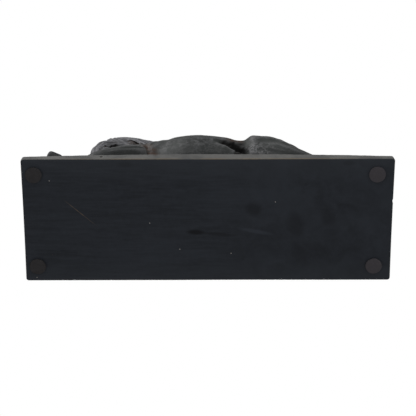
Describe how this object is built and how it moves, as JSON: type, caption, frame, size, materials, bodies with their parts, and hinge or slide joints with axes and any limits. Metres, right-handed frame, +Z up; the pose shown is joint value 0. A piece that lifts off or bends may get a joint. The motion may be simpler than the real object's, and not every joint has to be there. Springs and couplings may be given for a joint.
{
  "type": "reclining horse sculpture",
  "caption": "Cast resin horse lying on a long low slab, head raised and one foreleg stretched out, on small round pads.",
  "frame": {"origin": "middle of the slab's footprint, at the level of the pads' undersides", "axes": "+Z up, +X along the slab from the horse's head end to its tail end, -Y the side on which its legs show"},
  "size_m": [0.42, 0.1516, 0.1983],
  "materials": {
    "resin": "dark grey-green cast resin with a worn, matt patina",
    "pad": "dark brown-black felt"
  },
  "bodies": {
    "root": {"reclining_horse": "resin", "pad_front_left": "pad", "pad_front_right": "pad", "pad_back_left": "pad", "pad_back_right": "pad"}
  },
  "joints": []
}
